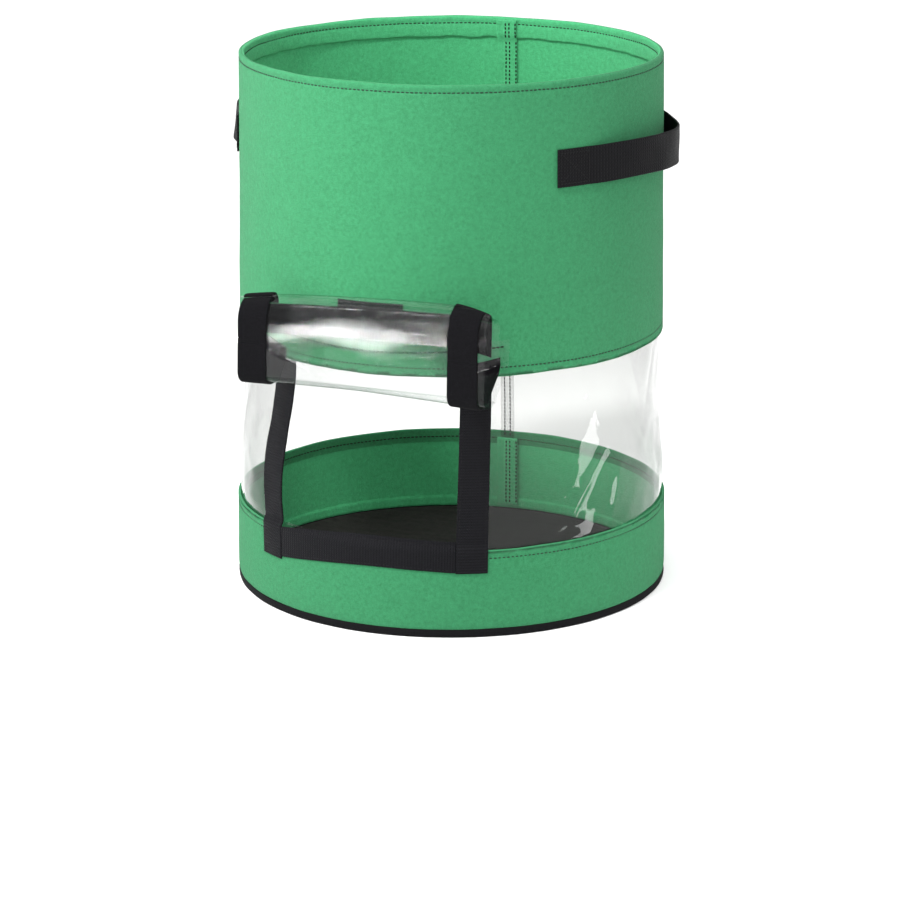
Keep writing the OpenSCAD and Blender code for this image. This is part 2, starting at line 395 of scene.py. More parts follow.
FELT_GREEN = cloth_material("felt_green", (0.020, 0.122, 0.050), (0.034, 0.200, 0.087), sheen=0.05,
                            sheen_tint=(0.9, 1.0, 0.92), mottle=330.0, fibre=1300.0, bump=0.9, depth=0.0014,
                            specular=0.08, inner=1.9)
FELT_BLACK = cloth_material("felt_black", (0.003, 0.003, 0.003), (0.018, 0.016, 0.014), sheen=0.03,
                            mottle=260.0, fibre=1100.0, bump=0.45, depth=0.0008, specular=0.05)
LOOP_TAPE = cloth_material("loop_tape_black", (0.0015, 0.0015, 0.0018), (0.005, 0.005, 0.006), sheen=0.012,
                           mottle=700.0, fibre=2600.0, bump=0.5, depth=0.0005, specular=0.04)
HOOK_TAPE = woven_material("hook_tape_black", (0.0015, 0.0015, 0.002), (0.009, 0.009, 0.011), 0.0023, 0.0019,
                           roughness=0.5, depth=0.0009)
WEBBING = woven_material("webbing_black", (0.0015, 0.0015, 0.002), (0.009, 0.009, 0.010), 0.0026, 0.0026,
                         roughness=0.5, depth=0.0011)
BINDING = woven_material("binding_black", (0.0015, 0.0015, 0.002), (0.008, 0.008, 0.009), 0.0012, 0.0012,
                         roughness=0.7, depth=0.0003)
THREAD_DARK = cloth_material("thread_dark", (0.004, 0.011, 0.007), (0.010, 0.027, 0.017), roughness=0.6,
                             sheen=0.0, mottle=900.0, bump=0.2, depth=0.0002)
THREAD_BLACK = cloth_material("thread_black", (0.003, 0.003, 0.003), (0.012, 0.012, 0.013), roughness=0.55,
                              sheen=0.0, mottle=900.0, bump=0.2, depth=0.0002, specular=0.1)
FILM = film_material("film_clear", clear=(0.745, 0.75, 0.742), haze=0.006, gain=1.2)
FLAP_FILM = film_material("film_clear_flap", clear=(0.95, 0.955, 0.953), haze=0.002, roughness=0.07,
                          bump=0.012)


def finish_piece(o, material, body=None, replaced=()):
    o.data.materials.clear()
    o.data.materials.append(material)
    if body:
        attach(o, body)
    if replaced:
        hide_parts(*replaced)


# ---- stitches

def stitch_line(name, points, normals, pitch=3.6, gap=0.20, width=1.0, height=0.6, material=THREAD_BLACK,
                closed=False):
    """Rounded stitches along a line of points, as one object. The normals point out of the cloth."""
    pts = np.asarray(points, float)
    nrm = np.asarray(normals, float)
    if closed:
        pts, nrm = np.vstack([pts, pts[:1]]), np.vstack([nrm, nrm[:1]])
    s = np.concatenate([[0], np.cumsum(np.linalg.norm(np.diff(pts, axis=0), axis=1))])
    count = max(1, int(round(s[-1] / pitch)))
    mid = (np.arange(count) + 0.5) * s[-1] / count
    mid = mid + rng.uniform(-0.12, 0.12, count)
    half = s[-1] / count * (1 - gap) / 2

    def at(q, arr):
        return np.stack([np.interp(q, s, arr[:, k]) for k in range(3)], -1)

    c = at(mid, pts)
    tangent = at(mid + half * 0.7, pts) - at(mid - half * 0.7, pts)
    tangent /= np.maximum(np.linalg.norm(tangent, axis=1, keepdims=True), 1e-9)
    n = at(mid, nrm)
    n = n - (n * tangent).sum(1, keepdims=True) * tangent
    n /= np.maximum(np.linalg.norm(n, axis=1, keepdims=True), 1e-9)
    side = np.cross(n, tangent)
    ring = np.array([-1.0, -0.82, -0.4, 0.4, 0.82, 1.0])
    size = np.array([0.15, 0.72, 1.0, 1.0, 0.72, 0.15])
    dip = -0.55 * ring ** 4
    sides = 6
    ang = np.arange(sides) / sides * 2 * math.pi
    tilt = rng.uniform(-0.10, 0.10, count)
    verts, faces = [], []
    for i in range(count):
        t2 = tangent[i] + side[i] * tilt[i]
        for k in range(len(ring)):
            centre = c[i] + t2 * ring[k] * half + n[i] * (dip[k] + height * 0.25)
            for a in ang:
                across, up = math.cos(a) * width / 2 * size[k], math.sin(a) * height / 2 * size[k]
                verts.append(centre + side[i] * across + n[i] * up)
        base = i * len(ring) * sides
        for k in range(len(ring) - 1):
            for j in range(sides):
                j2 = (j + 1) % sides
                faces.append([base + k * sides + j, base + k * sides + j2,
                              base + (k + 1) * sides + j2, base + (k + 1) * sides + j])
        faces.append([base + j for j in range(sides)][::-1])
        faces.append([base + (len(ring) - 1) * sides + j for j in range(sides)])
    o = mesh_object(name, verts, faces)
    finish_piece(o, material, "bag")


def ring_stitches(name, z, radius, inward=False):
    """Stitches round the bag at a height. radius is a function of (deg, z)."""
    d = np.linspace(0, 360, 721)[:-1]
    wob = ring_noise(d, 0 * d, 91, 5, 100.0) * 0.35
    n = polar(d, np.ones_like(d), 0) * (-1 if inward else 1)
    stitch_line(name, polar(d, radius(d, z + wob), z + wob), n, material=THREAD_DARK, closed=True)


def sewn_row(name, points, deg, lift, inward=False, **look):
    """Stitches along points, standing out of the bag by the lift, or into it."""
    n = polar(deg, np.ones(len(points)), 0) * (-1 if inward else 1)
    stitch_line(name, points + n * lift, n, **look)


TAPE_STITCH = {"pitch": 3.2, "width": 0.6, "height": 0.4}


# ---- felt walls

DEG = np.arange(0, 360, 0.5)
SEAM = 186.2          # the back seam
HEM_STITCH_Z = RIM_Z - 6.0
FOOT_STITCH_Z = FOOT_Z + 7.0
LIP_STITCH_Z = LIP_Z - 7.0
HEM_DEPTH = 18.0


def groove(z, at, depth=0.55, spread=1.3):
    return depth * np.exp(-((z - at) / spread) ** 2)


def wall_wave(deg, z):
    """How far the felt stands out of true, both walls alike at the same place."""
    return 0.55 * ring_noise(deg, z, 3, 3, 380.0, 2) + 0.16 * ring_noise(deg, z, 4, 17, 90.0, 2)


def wrap(d):
    return (np.asarray(d) + 180) % 360 - 180


def lap(deg, at, rise=1.0, reach=9.0):
    """The outer strip's end lies over its start: a step that tapers away on one side."""
    x = wrap(deg - at)
    return rise * np.where(x > 0, np.exp(-(x / reach) ** 2), 0) * (x < 30)


def pucker(deg):
    """How deep the stitches pull the felt, stitch by stitch."""
    return 0.75 + 0.25 * np.cos(np.radians(deg) * 300)


def upper_felt(deg, z):
    """The upper wall's surface without its stitches' grooves."""
    return upper_r(z) + wall_wave(deg, z)


def felt_outer_upper(deg, z):
    return upper_felt(deg, z) - (groove(z, HEM_STITCH_Z) + groove(z, FOOT_STITCH_Z)) * pucker(deg)


def lower_felt(deg, z):
    """The lower wall's surface without its stitches' grooves."""
    return lower_r(z) + wall_wave(deg, z) * 0.8


def felt_outer_lower(deg, z):
    return lower_felt(deg, z) - groove(z, LIP_STITCH_Z) * pucker(deg) - groove(z, 9.0, 0.5, 1.6)


def arc(cx, cz, r, a0, a1, n):
    a = np.radians(np.linspace(a0, a1, n))
    return [(cx - r * math.cos(t), cz + r * math.sin(t)) for t in a]


def rounded_wall_profile(z0, z1, hem_z):
    """Closed loop of (inset, height): up the outside, over the folded rim, down the hem, down the inside."""
    t = FELT
    out = [(0, z) for z in lines(z0 + 0.9, z1 - 2.4, 3.2)]
    for extra in (HEM_STITCH_Z, FOOT_STITCH_Z):
        out += [(0, extra + q) for q in (-2.2, -1.1, 0, 1.1, 2.2) if z0 + 1 < extra + q < z1 - 2.5]
    out = sorted(set(out), key=lambda q: q[1])
    top = arc(2.2, z1 - 2.3, 2.2, 0, 180, 11)
    top = [(d, z1 - 2.3 + (z - z1 + 2.3) * 1.04) for d, z in top]
    hem = [(2 * t, z) for z in (z1 - 4, z1 - 5, z1 - 6, z1 - 7, z1 - 9, z1 - 12, z1 - 15, hem_z + 1.2)]
    edge = [(2 * t - 0.25, hem_z + 0.4), (2 * t - 0.8, hem_z), (t + 0.5, hem_z - 0.1), (t, hem_z - 0.9)]
    inner = [(t, z) for z in lines(hem_z - 3, z0 + 0.9, -6.0) if z0 + 0.8 < z < hem_z - 2]
    foot = arc(t / 2, z0 + 1.0, t / 2, 180, 360, 7)
    return out + top + hem + edge + inner + foot


def build_upper_wall():
    hem_z = RIM_Z - HEM_DEPTH
    prof = rounded_wall_profile(FOOT_Z, RIM_Z, hem_z)

    def displace(deg, inset, z):
        ragged = 0.7 * ring_noise(deg, 0 * z, 21, 23, 100.0)
        near_edge = np.exp(-((z - hem_z) / 3.0) ** 2) * (inset > FELT + 0.1)
        z2 = z + ragged * near_edge
        z2 = z2 + 0.5 * ring_noise(deg, 0 * z, 22, 6, 100.0) * np.clip((z - RIM_Z + 12) / 12, 0, 1)
        z2 = z2 + 0.4 * ring_noise(deg, 0 * z, 23, 9, 100.0) * np.clip((FOOT_Z + 10 - z) / 10, 0, 1)
        base = felt_outer_upper(deg, z)
        on_hem = inset > FELT * 1.5
        inner = upper_felt(deg, z) + groove(z, HEM_STITCH_Z, 0.5) * on_hem + groove(z, FOOT_STITCH_Z, 0.4)
        r = np.where(inset > FELT * 0.9, inner, base) - inset
        bulge = 0.35 * np.sin(np.clip((z - hem_z) / HEM_DEPTH, 0, 1) * math.pi) * on_hem
        r = r - bulge + lap(deg, SEAM - 1.0, 0.9) * (inset < FELT * 0.5) * np.clip((z - FOOT_Z) / 3, 0, 1)
        return r, z2

    o = ring_shell("upper_wall_felt", DEG, prof, displace)
    finish_piece(o, FELT_GREEN, "bag", ["upper_wall"])


def build_lower_wall():
    t = FELT
    z0, z1 = 7.6, LIP_Z
    out = [(0, z) for z in lines(z0 + 0.9, z1 - 1.0, 3.0)]
    out += [(0, LIP_STITCH_Z + q) for q in (-2.2, -1.1, 0, 1.1, 2.2)]
    out = sorted(set(out), key=lambda q: q[1])
    top = arc(t / 2, z1 - 1.1, t / 2, 0, 180, 9)
    inner = [(t, z) for z in lines(z1 - 2.5, 12.0, -4.0)]
    inner += [(t, 11.0), (t + 0.6, 10.2), (t + 1.0, 9.6), (t + 1.1, 8.0), (t + 1.1, 4.0), (t + 1.1, 2.0),
              (1.6, 1.8), (1.45, 4.0), (1.45, 6.6), (0.6, 7.2)]

    def displace(deg, inset, z):
        near_foot = np.clip((14 - z) / 6, 0, 1) * (inset > t * 0.9)
        ragged = ring_noise(deg, 0 * z, 31, 40, 100.0)
        z2 = z + 0.35 * ring_noise(deg, 0 * z, 32, 8, 100.0) * np.clip((z - z1 + 12) / 12, 0, 1)
        z2 = z2 + 0.5 * ragged * near_foot * (z > 5)
        base = felt_outer_lower(deg, z)
        r = np.where(inset > t * 0.9, lower_felt(deg, z) + groove(z, LIP_STITCH_Z, 0.4), base)
        r = r - inset - 0.5 * ragged * near_foot
        r = r + lap(deg, SEAM - 1.0, 0.9) * (inset < t * 0.5) * (z > 8)
        return r, z2

    o = ring_shell("lower_wall_felt", DEG, out + top + inner, displace)
    finish_piece(o, FELT_GREEN, "bag", ["lower_wall"])


def build_base():
    foot_r = 174.8
    radius = np.concatenate([[0.001], np.linspace(6, 168, 55), [170, 171.8, 173.2, 174.2, foot_r]])
    dd, rr = np.meshgrid(np.arange(0, 360, 1.0), radius, indexing="ij")
    x, y = rr * np.sin(np.radians(dd)), -rr * np.cos(np.radians(dd))
    bump = 0.5 * smooth_noise(x, y, 41, 90, 90, 3) + 0.28 * smooth_noise(x, y, 42, 14, 14, 3)
    edge = np.clip((foot_r - rr) / 6, 0, 1)
    top = np.stack([x, y, FELT + (bump * edge) - 0.9 * (1 - edge) ** 3], -1)
    low = np.stack([x, y, np.where(rr > 173.5, 1.2, 0.02)], -1)
    nu, nv = dd.shape
    face = grid_faces(nu, nv, True, False)
    m = nu * nv
    outer = np.arange(nu) * nv + nv - 1
    ahead = np.roll(outer, -1)
    rim = np.stack([outer, ahead, m + ahead, m + outer], 1)
    o = mesh_object("base_felt", np.concatenate([top.reshape(-1, 3), low.reshape(-1, 3)]),
                    np.concatenate([face, (face + m)[:, ::-1], rim[:, ::-1]]),
                    np.concatenate([np.stack([x, y], -1).reshape(-1, 2)] * 2))
    finish_piece(o, FELT_BLACK, "bag", ["base_disc"])


def build_binding():
    """The tape round the foot: a folded strip seen from the side as a rounded L."""
    r0 = LOWER[1][0]
    prof = [(6.5, 0.0), (4.0, 0.0), (1.9, 0.05), (0.9, 0.35), (0.3, 1.0), (0.0, 2.0), (-0.1, 3.6), (0.0, 5.2),
            (0.15, 6.3), (0.5, 7.0), (1.0, 7.2), (1.4, 6.9), (1.5, 6.0), (1.5, 3.0), (1.9, 1.5), (6.5, 1.2)]

    def displace(deg, inset, z):
        wave = wall_wave(deg, z) * 0.8
        z2 = z + 0.45 * ring_noise(deg, 0 * z, 51, 11, 100.0) * np.clip((z - 3) / 3, 0, 1)
        squeeze = 0.25 * np.cos(np.radians(deg) * 300) * np.exp(-((z - 4.6) / 1.1) ** 2)
        return r0 + 0.05 - inset + wave + squeeze * (inset < 1), z2

    o = ring_shell("base_binding_tape", DEG, prof, displace)
    finish_piece(o, BINDING, "bag", ["base_binding"])


# ---- clear band

BAND_R = 173                               # the film's radius, for lengths round it
OPENING = (-26.8, 24.8)
OPENING_Z = (77.0, FOOT_Z + 1.0)
LEFT_TAPE, RIGHT_TAPE = -30.6, 28.6        # middles of the side tapes


def smoothstep(x):
    x = np.clip(x, 0, 1)
    return x * x * (3 - 2 * x)


def lean(z, foot, rise, start, reach):
    """Degrees off a side tape's true line: foot up to the start height, and rise more after the reach."""
    return foot + rise * smoothstep((z - start) / reach)


def window_shift(deg, z):
    """Degrees by which the side tapes, and the film beside them, lean off their true lines."""
    bow, bow_z, bow_height = 0.63, 103.4, 20.2      # the left tape bows outwards
    left = lean(z, -0.63, 4.44, 115.4, 92.2) - bow * np.exp(-((z - bow_z) / bow_height) ** 2)
    right = lean(z, -0.83, 1.22, 34.5, 175.7)
    follow = 11                                     # how far the film beside a tape follows it
    return (left * np.exp(-((wrap(deg) - LEFT_TAPE) / follow) ** 2)
            + right * np.exp(-((wrap(deg) - RIGHT_TAPE) / follow) ** 2))


# Creases in the clear band: angle, height, lean (mm sideways for each mm up), length, width, rise
CREASES = [(52, 165, -0.55, 42, 7, 1.5), (63, 120, 0.7, 36, 6, -1.3), (72, 100, 0.25, 26, 5, 1.2),
           (80, 150, -0.9, 34, 6, 1.1), (46, 110, 1.1, 30, 6, -0.9), (92, 185, 0.5, 30, 7, -1.0),
           (-52, 150, 0.35, 48, 6, 1.3), (-62, 120, -0.5, 34, 6, -1.1), (-47, 185, -0.3, 26, 5, -0.8),
           (105, 120, -0.4, 40, 8, 1.0), (140, 150, 0.5, 45, 9, 1.2), (222, 130, -0.5, 45, 9, 1.0),
           (255, 160, 0.4, 40, 8, -1.1)]


def band_wave(deg, z):
    """How far the clear band stands out of true: pulled in near the top, creased where it was folded."""
    d = wrap(deg)
    free = np.clip((z - LIP_Z) / 10, 0, 1) * np.clip((FOOT_Z - z) / 6, 0, 1)
    w = 0.7 * ring_noise(deg, z, 61, 5, 170.0, 2) + 0.3 * ring_noise(deg, z, 62, 19, 60.0, 2)
    w = w - 3.2 * np.exp(-((z - 190) / 30) ** 2) * np.exp(-((d + 72) / 40) ** 2)
    w = w + 1.8 * np.exp(-((z - 112) / 40) ** 2) * np.exp(-((d + 42) / 12) ** 2)
    for at, z_at, lean, long, wide, rise in CREASES:
        along = (z - z_at) / long
        off = np.radians(d - at) * BAND_R - lean * (z - z_at)
        w = w + rise * np.exp(-np.abs(off) / wide) * np.exp(-along ** 2 * 1.5)
    return w * free


def band_outer(deg, z):
    return band_r(z) + band_wave(deg, z) + wall_wave(deg, z) * 0.7


def frame_r(deg, z):
    """The surface the window's tapes lie on: the felt below, the film above its edge."""
    w = smoothstep((z - LIP_Z + 0.5) / 6)
    return lower_felt(deg, z) * (1 - w) + band_outer(deg, z) * w


def build_band():
    z = np.unique(np.concatenate([lines(BAND_FOOT, OPENING_Z[0], 2.6), lines(OPENING_Z[0], OPENING_Z[1], 2.4),
                                  lines(OPENING_Z[1], BAND_HEAD, 3.0)]))
    d = np.unique(np.round(np.concatenate([lines(OPENING[0], OPENING[1], 0.8),
                                           lines(OPENING[1], 360 + OPENING[0], 0.6)]), 5))[:-1]
    dd, zz = np.meshgrid(d, z, indexing="ij")
    shifted = dd + window_shift(dd, zz)
    p = polar(shifted, band_outer(shifted, zz) - FILM_T, zz)
    faces = grid_faces(len(d), len(z), True, False)
    mid_d = dd.ravel()[faces[:, 0]] + 0.2
    mid_z = zz.ravel()[faces].mean(1)
    hole = (mid_d > OPENING[0]) & (mid_d < OPENING[1]) & (mid_z > OPENING_Z[0]) & (mid_z < OPENING_Z[1])
    o = mesh_object("window_film", p, faces[~hole], np.stack([np.radians(dd) * BAND_R, zz], -1))
    drop_loose(o)
    finish_piece(o, FILM, "bag", ["window_band"])


# ---- tapes round the window

def side_tape(name, middle, foot_z, node):
    def surface(u, v):
        deg = middle + np.degrees((v - TAPE_W / 2) / MEAN_R)
        shift = window_shift(middle, u)
        return polar(deg + shift, frame_r(deg + shift, u) + 0.1, u)

    z = lines(foot_z, FOOT_Z - 0.6, 2.0, 0.9)
    v = lines(0, TAPE_W, 2.2, 0.9)
    lean = 0.25 * smooth_noise(*np.meshgrid(z, v, indexing="ij"), 71, 60, 60, 2)
    o = sheet_shell(name, z, v, surface, TAPE_T, lift=lean - TAPE_T / 2, rounding=0.9)
    finish_piece(o, HOOK_TAPE, "bag", [node])
    for tag, at in (("a", 2.2), ("b", TAPE_W - 2.2)):
        zz = np.linspace(foot_z + 2.5, FOOT_Z - 2, 160)
        sewn_row(name + "_stitches_" + tag, surface(zz, np.full_like(zz, at)), middle, 1.35, **TAPE_STITCH)


def bottom_sag(deg):
    """The bottom tape isn't level: it is highest right of its middle, and sags more at the left."""
    peak, drop, rise = 4.3, -16.1, 19.0
    width = np.where(deg < peak, 40.4, 52.7)
    return rise * np.exp(-((deg - peak) / width) ** 2) + drop


def bottom_tape():
    foot, tape_r = 54.0, 176
    a, b = np.radians(OPENING[0] + 0.4) * tape_r, np.radians(OPENING[1] - 0.4) * tape_r

    def surface(u, v):
        deg = np.degrees(u / tape_r)
        deg = deg + window_shift(deg, foot + v)
        z = foot + v + bottom_sag(deg)
        return polar(deg, frame_r(deg, z) + 0.1, z)

    u, v = lines(a, b, 2.4, 0.9), lines(0, TAPE_W, 2.0, 0.9)
    o = sheet_shell("window_tape_bottom_sewn", u, v, surface, TAPE_T, lift=0.7, rounding=0.9)
    finish_piece(o, HOOK_TAPE, "bag", ["window_tape_bottom"])
    for tag, at in (("a", 2.2), ("b", TAPE_W - 3.4)):
        uu = np.linspace(a + 2, b - 2, 200)
        sewn_row("window_tape_bottom_stitches_" + tag, surface(uu, np.full_like(uu, at)),
                 np.degrees(uu / tape_r), 1.35, **TAPE_STITCH)


def roll_patch():
    patch_r, foot, head = 174, 250.0, 270.8

    def surface(u, v):
        deg = np.degrees(u / patch_r)
        return polar(deg, upper_felt(deg, v) + 0.1, v)

    u, v = lines(-23.408, 31.312, 2.4, 0.8), lines(foot, head, 2.2, 0.8)
    o = sheet_shell("roll_patch_sewn", u, v, surface, TAPE_T, lift=TAPE_T / 2)
    finish_piece(o, HOOK_TAPE, "bag", ["roll_patch"])


# ---- handles

HANDLE_Z = JOINTS["handle_right_swing"]["pos_m"][2] / MM
SEWN_INNER, SEWN_OUTER = 29.0, 39.0


def strap(side, middle, out, rise, tilt):
    """One length of webbing: sewn down at both ends, free between, bending at its hinge line."""
    t, width = 1.8, 30.0
    att = float(upper_r(HANDLE_Z)) + 0.1 + t / 2
    half_chord = att * math.sin(math.radians(SEWN_INNER))
    sag = att + out - att * math.cos(math.radians(SEWN_INNER))
    radius = (half_chord ** 2 + sag ** 2) / (2 * sag)
    centre = att + out - radius
    phi = np.linspace(-SEWN_OUTER, SEWN_OUTER, 1561)
    a = np.radians(phi)
    r = centre * np.cos(a) + np.sqrt(radius ** 2 - (centre * np.sin(a)) ** 2)
    r = np.where(np.abs(phi) < SEWN_INNER, np.maximum(r, att), att)
    kernel = np.exp(-np.linspace(-2.5, 2.5, 81) ** 2)
    r = np.convolve(np.pad(r, 40, mode="edge"), kernel / kernel.sum(), "valid")
    r = np.maximum(r, att)
    s = np.concatenate([[0], np.cumsum(np.hypot(np.diff(r), np.radians(np.diff(phi)) * r[1:]))])

    def surface(u, v):
        f = np.interp(u, s, phi)
        free = smoothstep((SEWN_INNER + 1 - np.abs(f)) / 9)
        rr = np.interp(u, s, r)
        z = HANDLE_Z + v
        dz = rise[0] * np.exp(-((f + 14) / 12) ** 2) + rise[1] * np.exp(-((f - 18) / 12) ** 2)
        lean = (upper_r(z) - upper_r(HANDLE_Z) + wall_wave(middle + f, z)) * (1 - free)
        curl = 0.5 * free * smooth_noise(u, v, 81 if side == "right" else 82, 70, 40, 2)
        return polar(middle + f, rr + lean - v * math.sin(math.radians(tilt)) * free + curl, z + dz * free)

    u, v = lines(0, s[-1], 1.6, 0.8), lines(-width / 2, width / 2, 1.8, 0.8)
    o = sheet_shell("handle_%s_strap" % side, u, v, surface, t)
    nodes = ["handle_%s_%s" % (side, n) for n in ("end_front", "end_back", "loop")]
    finish_piece(o, WEBBING, None, nodes)
    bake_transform(o)
    sewn = (SEWN_OUTER - SEWN_INNER) / 180 * math.pi * att
    w = width / 2 - 3.0
    for tag, base in (("a", 2.5), ("b", s[-1] - sewn + 1.0)):
        u0, u1 = base, base + sewn - 3.5
        corners = [(u0, -w), (u1, -w), (u1, w), (u0, w), (u0, -w), (u1, w), (u1, -w), (u0, w)]
        path = []
        for (ua, va), (ub, vb) in zip(corners, corners[1:]):
            q = np.linspace(0, 1, 24)[:-1]
            path += list(zip(ua + (ub - ua) * q, va + (vb - va) * q))
        path = np.array(path)
        sewn_row("handle_%s_stitches_%s" % (side, tag), surface(path[:, 0], path[:, 1]),
                 middle + np.interp(path[:, 0], s, phi), t / 2 + 0.05, pitch=2.8, width=0.6, height=0.45)


# ---- back seam

def seam_strip(name, r_at, z0, z1, node, step_z=None):
    """A felt strip sewn over the back join, seen inside the bag. Above step_z it lies on the hem."""
    half, thick, strip_r = 9.3, 2.0, 170

    def surface(u, v):
        deg = SEAM + np.degrees(u / strip_r)
        extra = 0 if step_z is None else FELT * smoothstep((v - step_z + 2) / 4)
        pull = 0.3 * smooth_noise(u, v, 95, 9, 26, 2)
        sink = smoothstep((u - 1.2) / 2.0)
        return polar(deg, r_at(v) + wall_wave(deg, v) - extra - thick / 2 + sink + pull, v)

    u, v = lines(-half, half, 1.0, 0.9), lines(z0, z1, 3.0, 0.9)
    o = sheet_shell(name, u, v, surface, thick, rounding=0.9)
    finish_piece(o, FELT_GREEN, "bag", [node])
    for tag, at in (("a", -2.4), ("b", 0.8), ("edge", -half + 1.2)):
        zz = np.linspace(z0 + 2, z1 - 2, 200)
        sewn_row(name + "_stitches_" + tag, surface(np.full_like(zz, at), zz), SEAM, thick / 2 - 0.1, True,
                 pitch=3.4, gap=0.12, width=1.3)


def band_seam():
    half, seam_r = 6.0, 172

    def surface(u, v):
        deg = SEAM + np.degrees(u / seam_r)
        return polar(deg, band_outer(deg, v) - 1.0, v)

    u, v = np.linspace(-half, half, 7), lines(BAND_FOOT, BAND_HEAD, 3.0)
    uu, vv = np.meshgrid(u, v, indexing="ij")
    o = mesh_object("window_seam_lap", surface(uu, vv), grid_faces(len(u), len(v)), np.stack([uu, vv], -1))
    finish_piece(o, FILM, "bag", ["window_seam_strip"])
    for tag, at in (("a", -2.4), ("b", 2.4)):
        zz = np.linspace(LIP_Z - 4, FOOT_Z + 4, 200)
        sewn_row("window_seam_stitches_" + tag, surface(np.full_like(zz, at), zz), SEAM, 0.2, True,
                 pitch=3.4, gap=0.15, width=1.2)


# ---- the rolled flap

FILM_HALF, ROLL_SHIFT, ROLL_HEIGHT = 107.0, 3.9, 72.0
SEAM_Z = 240.0
FLAP_COLUMNS = np.linspace(-1, 1, 131)
CORNER_R = [5.0, 5.0, 9.5, 9.5, 7.0]     # at the wall, then at the four folds
PATH_COUNTS = [10, 6, 7, 8, 7, 12, 26, 12, 7, 12, 16]


SLAT_END = node_points("flap_film_4")[:, 1:].min(axis=0)


def fillet_path(corners, radii):
    """Points along straight runs with round corners between them, PATH_COUNTS points to each."""
    corners = [np.asarray(c, float) for c in corners]
    cuts = []
    for k in range(1, len(corners) - 1):
        a, b, c = corners[k - 1:k + 2]
        d1, d2 = a - b, c - b
        l1, l2 = np.linalg.norm(d1), np.linalg.norm(d2)
        d1, d2 = d1 / l1, d2 / l2
        angle = math.pi - math.acos(np.clip(d1 @ d2, -1, 1))
        d = min(radii[k - 1] * math.tan(angle / 2), 0.46 * l1, 0.46 * l2)
        cuts.append((b + d1 * d, b, b + d2 * d))
    out, at = [], corners[0]
    for k, count in enumerate(PATH_COUNTS):
        if k % 2 == 0:
            to = cuts[k // 2][0] if k // 2 < len(cuts) else corners[-1]
            q = np.linspace(0, 1, count + 1)[:-1, None]
            out.append(at + (to - at) * q)
        else:
            p0, p1, p2 = cuts[k // 2]
            q = np.linspace(0, 1, count + 1)[:-1, None]
            # the weight that makes the curve a true arc
            w = 0.5 * np.linalg.norm(p2 - p0) / max(np.linalg.norm(p1 - p0), 1e-6)
            num = (1 - q) ** 2 * p0 + 2 * q * (1 - q) * w * p1 + q ** 2 * p2
            out.append(num / ((1 - q) ** 2 + 2 * q * (1 - q) * w + q ** 2))
            at = p2
    out.append(corners[-1][None])
    return np.concatenate(out)


ROWS = np.concatenate([[0], np.cumsum(PATH_COUNTS)])     # row index where each run starts
CUT_ROWS = [0, int(ROWS[4] + PATH_COUNTS[4] // 2), int(ROWS[6] + PATH_COUNTS[6] // 2),
            int(ROWS[8] + PATH_COUNTS[8] // 2), int(ROWS[-1])]


def flap_grid():
    """Points of the whole flap, columns x rows, and each row's distance down the film."""
    grid = []
    for u in FLAP_COLUMNS:
        x = u * FILM_HALF
        wall_y = -math.sqrt((float(upper_r(SEAM_Z)) + 0.9) ** 2 - x * x)
        low_y = -math.sqrt((float(upper_r(FOOT_Z)) + 1.0) ** 2 - x * x)
        leave = FOLDS[0][1] + 3 + 0.5 * (low_y - FOLDS[0][0])
        corners = [(wall_y, SEAM_Z + 2), (low_y, leave)] + list(FOLDS) + [SLAT_END]
        yz = fillet_path(corners, CORNER_R)
        grid.append(np.column_stack([np.full(len(yz), x), yz]))
    g = np.array(grid)
    rows = np.arange(g.shape[1])
    roll = smoothstep((rows - ROWS[1]) / (ROWS[4] - ROWS[1]))[None, :]
    u = FLAP_COLUMNS[:, None]
    up = np.clip((g[..., 2] - FOLDS[0][1]) / ROLL_HEIGHT, 0, 1.1)
    on_front = smoothstep((rows - ROWS[5]) / 4.0) * smoothstep((ROWS[9] - rows) / 10.0)
    on_back = smoothstep((rows - ROWS[8]) / (ROWS[9] - ROWS[8]))[None, :]
    lean = 3.4 * np.clip((g[..., 2] - 255) / 10, 0, 1.3) ** 2 * on_front[None, :]
    g[..., 0] += ROLL_SHIFT * roll
    g[..., 2] += (4.0 * u * up + 1.2 * (1 - u * u)) * roll
    on_roof = smoothstep((rows - ROWS[7]) / 5.0) * smoothstep((ROWS[10] - rows) / 6.0)
    under = smoothstep((rows - ROWS[4]) / 5.0) * smoothstep((ROWS[7] - rows) / 12.0)
    g[..., 2] += 3.8 * (1 - u ** 4) * on_roof[None, :] - 2.6 * np.clip(u, 0, 1) * under[None, :]
    g[..., 1] += lean + 9.0 * np.clip((u - 0.55) / 0.45, 0, 1) ** 2 * on_back
    g[..., 2] -= 9.0 * np.clip((u - 0.6) / 0.4, 0, 1) ** 2 * on_back
    middle = g[len(FLAP_COLUMNS) // 2]
    s = np.cumsum(np.concatenate([[0], np.linalg.norm(np.diff(middle, axis=0), axis=1)]))
    uu, ss = np.meshgrid(FLAP_COLUMNS * FILM_HALF, s, indexing="ij")
    n = normals_of(g)
    hold = smoothstep((rows - 3) / 8.0)[None, :]
    wr = 0.07 * smooth_noise(uu, ss, 101, 120, 60, 2) + 0.008 * smooth_noise(uu, ss, 102, 40, 26, 2)
    ends = np.clip((np.abs(u) - 0.72) / 0.28, 0, 1) ** 1.5 * smoothstep((ROWS[4] - rows) / 12.0)[None, :]
    crinkle = 0.8 * smooth_noise(uu, ss, 103, 26, 22, 2)
    g = g + n * ((wr + crinkle * ends) * hold)[..., None]
    return g, s


